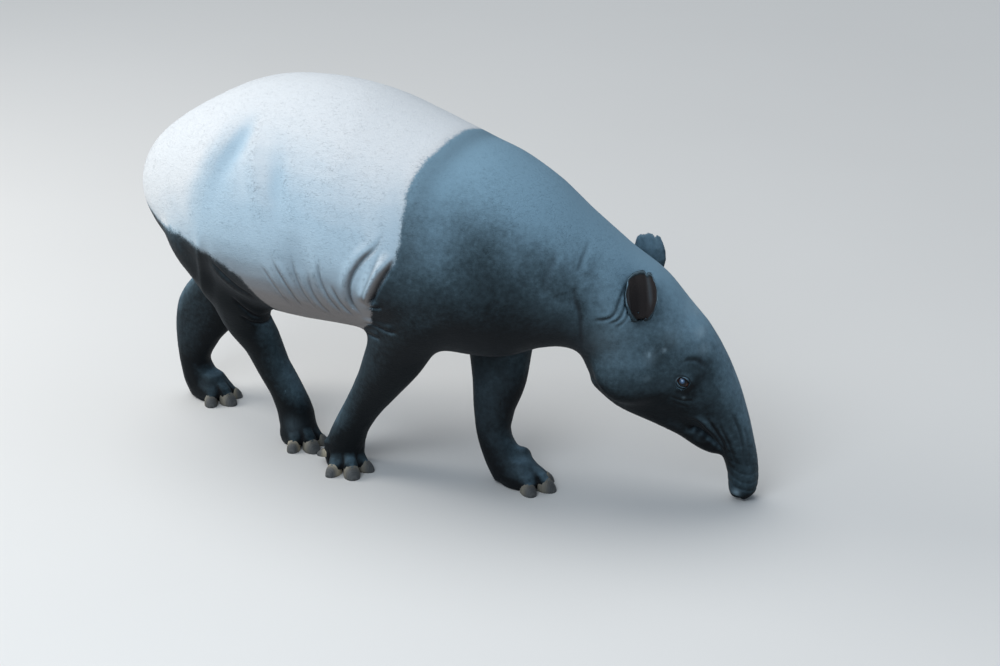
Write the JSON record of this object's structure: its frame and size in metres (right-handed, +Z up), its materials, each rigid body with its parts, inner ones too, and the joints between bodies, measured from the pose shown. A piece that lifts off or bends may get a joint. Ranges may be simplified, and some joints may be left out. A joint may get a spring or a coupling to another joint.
{
  "type": "malayan tapir",
  "caption": "Life-size still model of a Malayan tapir walking with its head down, black with a white saddle and rump.",
  "frame": {"origin": "the middle of the bounding box, on the floor that the feet stand on", "axes": "+X from the rump towards the head, +Y towards the animal's left, +Z up"},
  "size_m": [1.6974, 0.5786, 1.0003],
  "materials": {
    "black_coat": "short flat black hair with a blue-grey sheen",
    "white_coat": "short flat white hair",
    "hoof_horn": "grey worn horn",
    "eye": "dark brown, wet and glossy"
  },
  "bodies": {
    "root": {"head": "black_coat", "lower_jaw": "black_coat", "snout": "black_coat", "neck": "black_coat", "shoulders": "black_coat", "ear_left": "black_coat", "ear_right": "black_coat", "upper_arm_left": "black_coat", "forearm_left": "black_coat", "fore_foot_left": "black_coat", "thigh_left": "black_coat", "shank_left": "black_coat", "hind_foot_left": "black_coat", "upper_arm_right": "black_coat", "forearm_right": "black_coat", "fore_foot_right": "black_coat", "thigh_right": "black_coat", "shank_right": "black_coat", "hind_foot_right": "black_coat", "torso": "white_coat", "tail": "white_coat", "eye_left": "eye", "hoof_fore_left_inner": "hoof_horn", "hoof_fore_left_middle": "hoof_horn", "hoof_fore_left_outer": "hoof_horn", "hoof_fore_left_small": "hoof_horn", "hoof_hind_left_inner": "hoof_horn", "hoof_hind_left_middle": "hoof_horn", "hoof_hind_left_outer": "hoof_horn", "eye_right": "eye", "hoof_fore_right_inner": "hoof_horn", "hoof_fore_right_middle": "hoof_horn", "hoof_fore_right_outer": "hoof_horn", "hoof_fore_right_small": "hoof_horn", "hoof_hind_right_inner": "hoof_horn", "hoof_hind_right_middle": "hoof_horn", "hoof_hind_right_outer": "hoof_horn"}
  },
  "joints": []
}
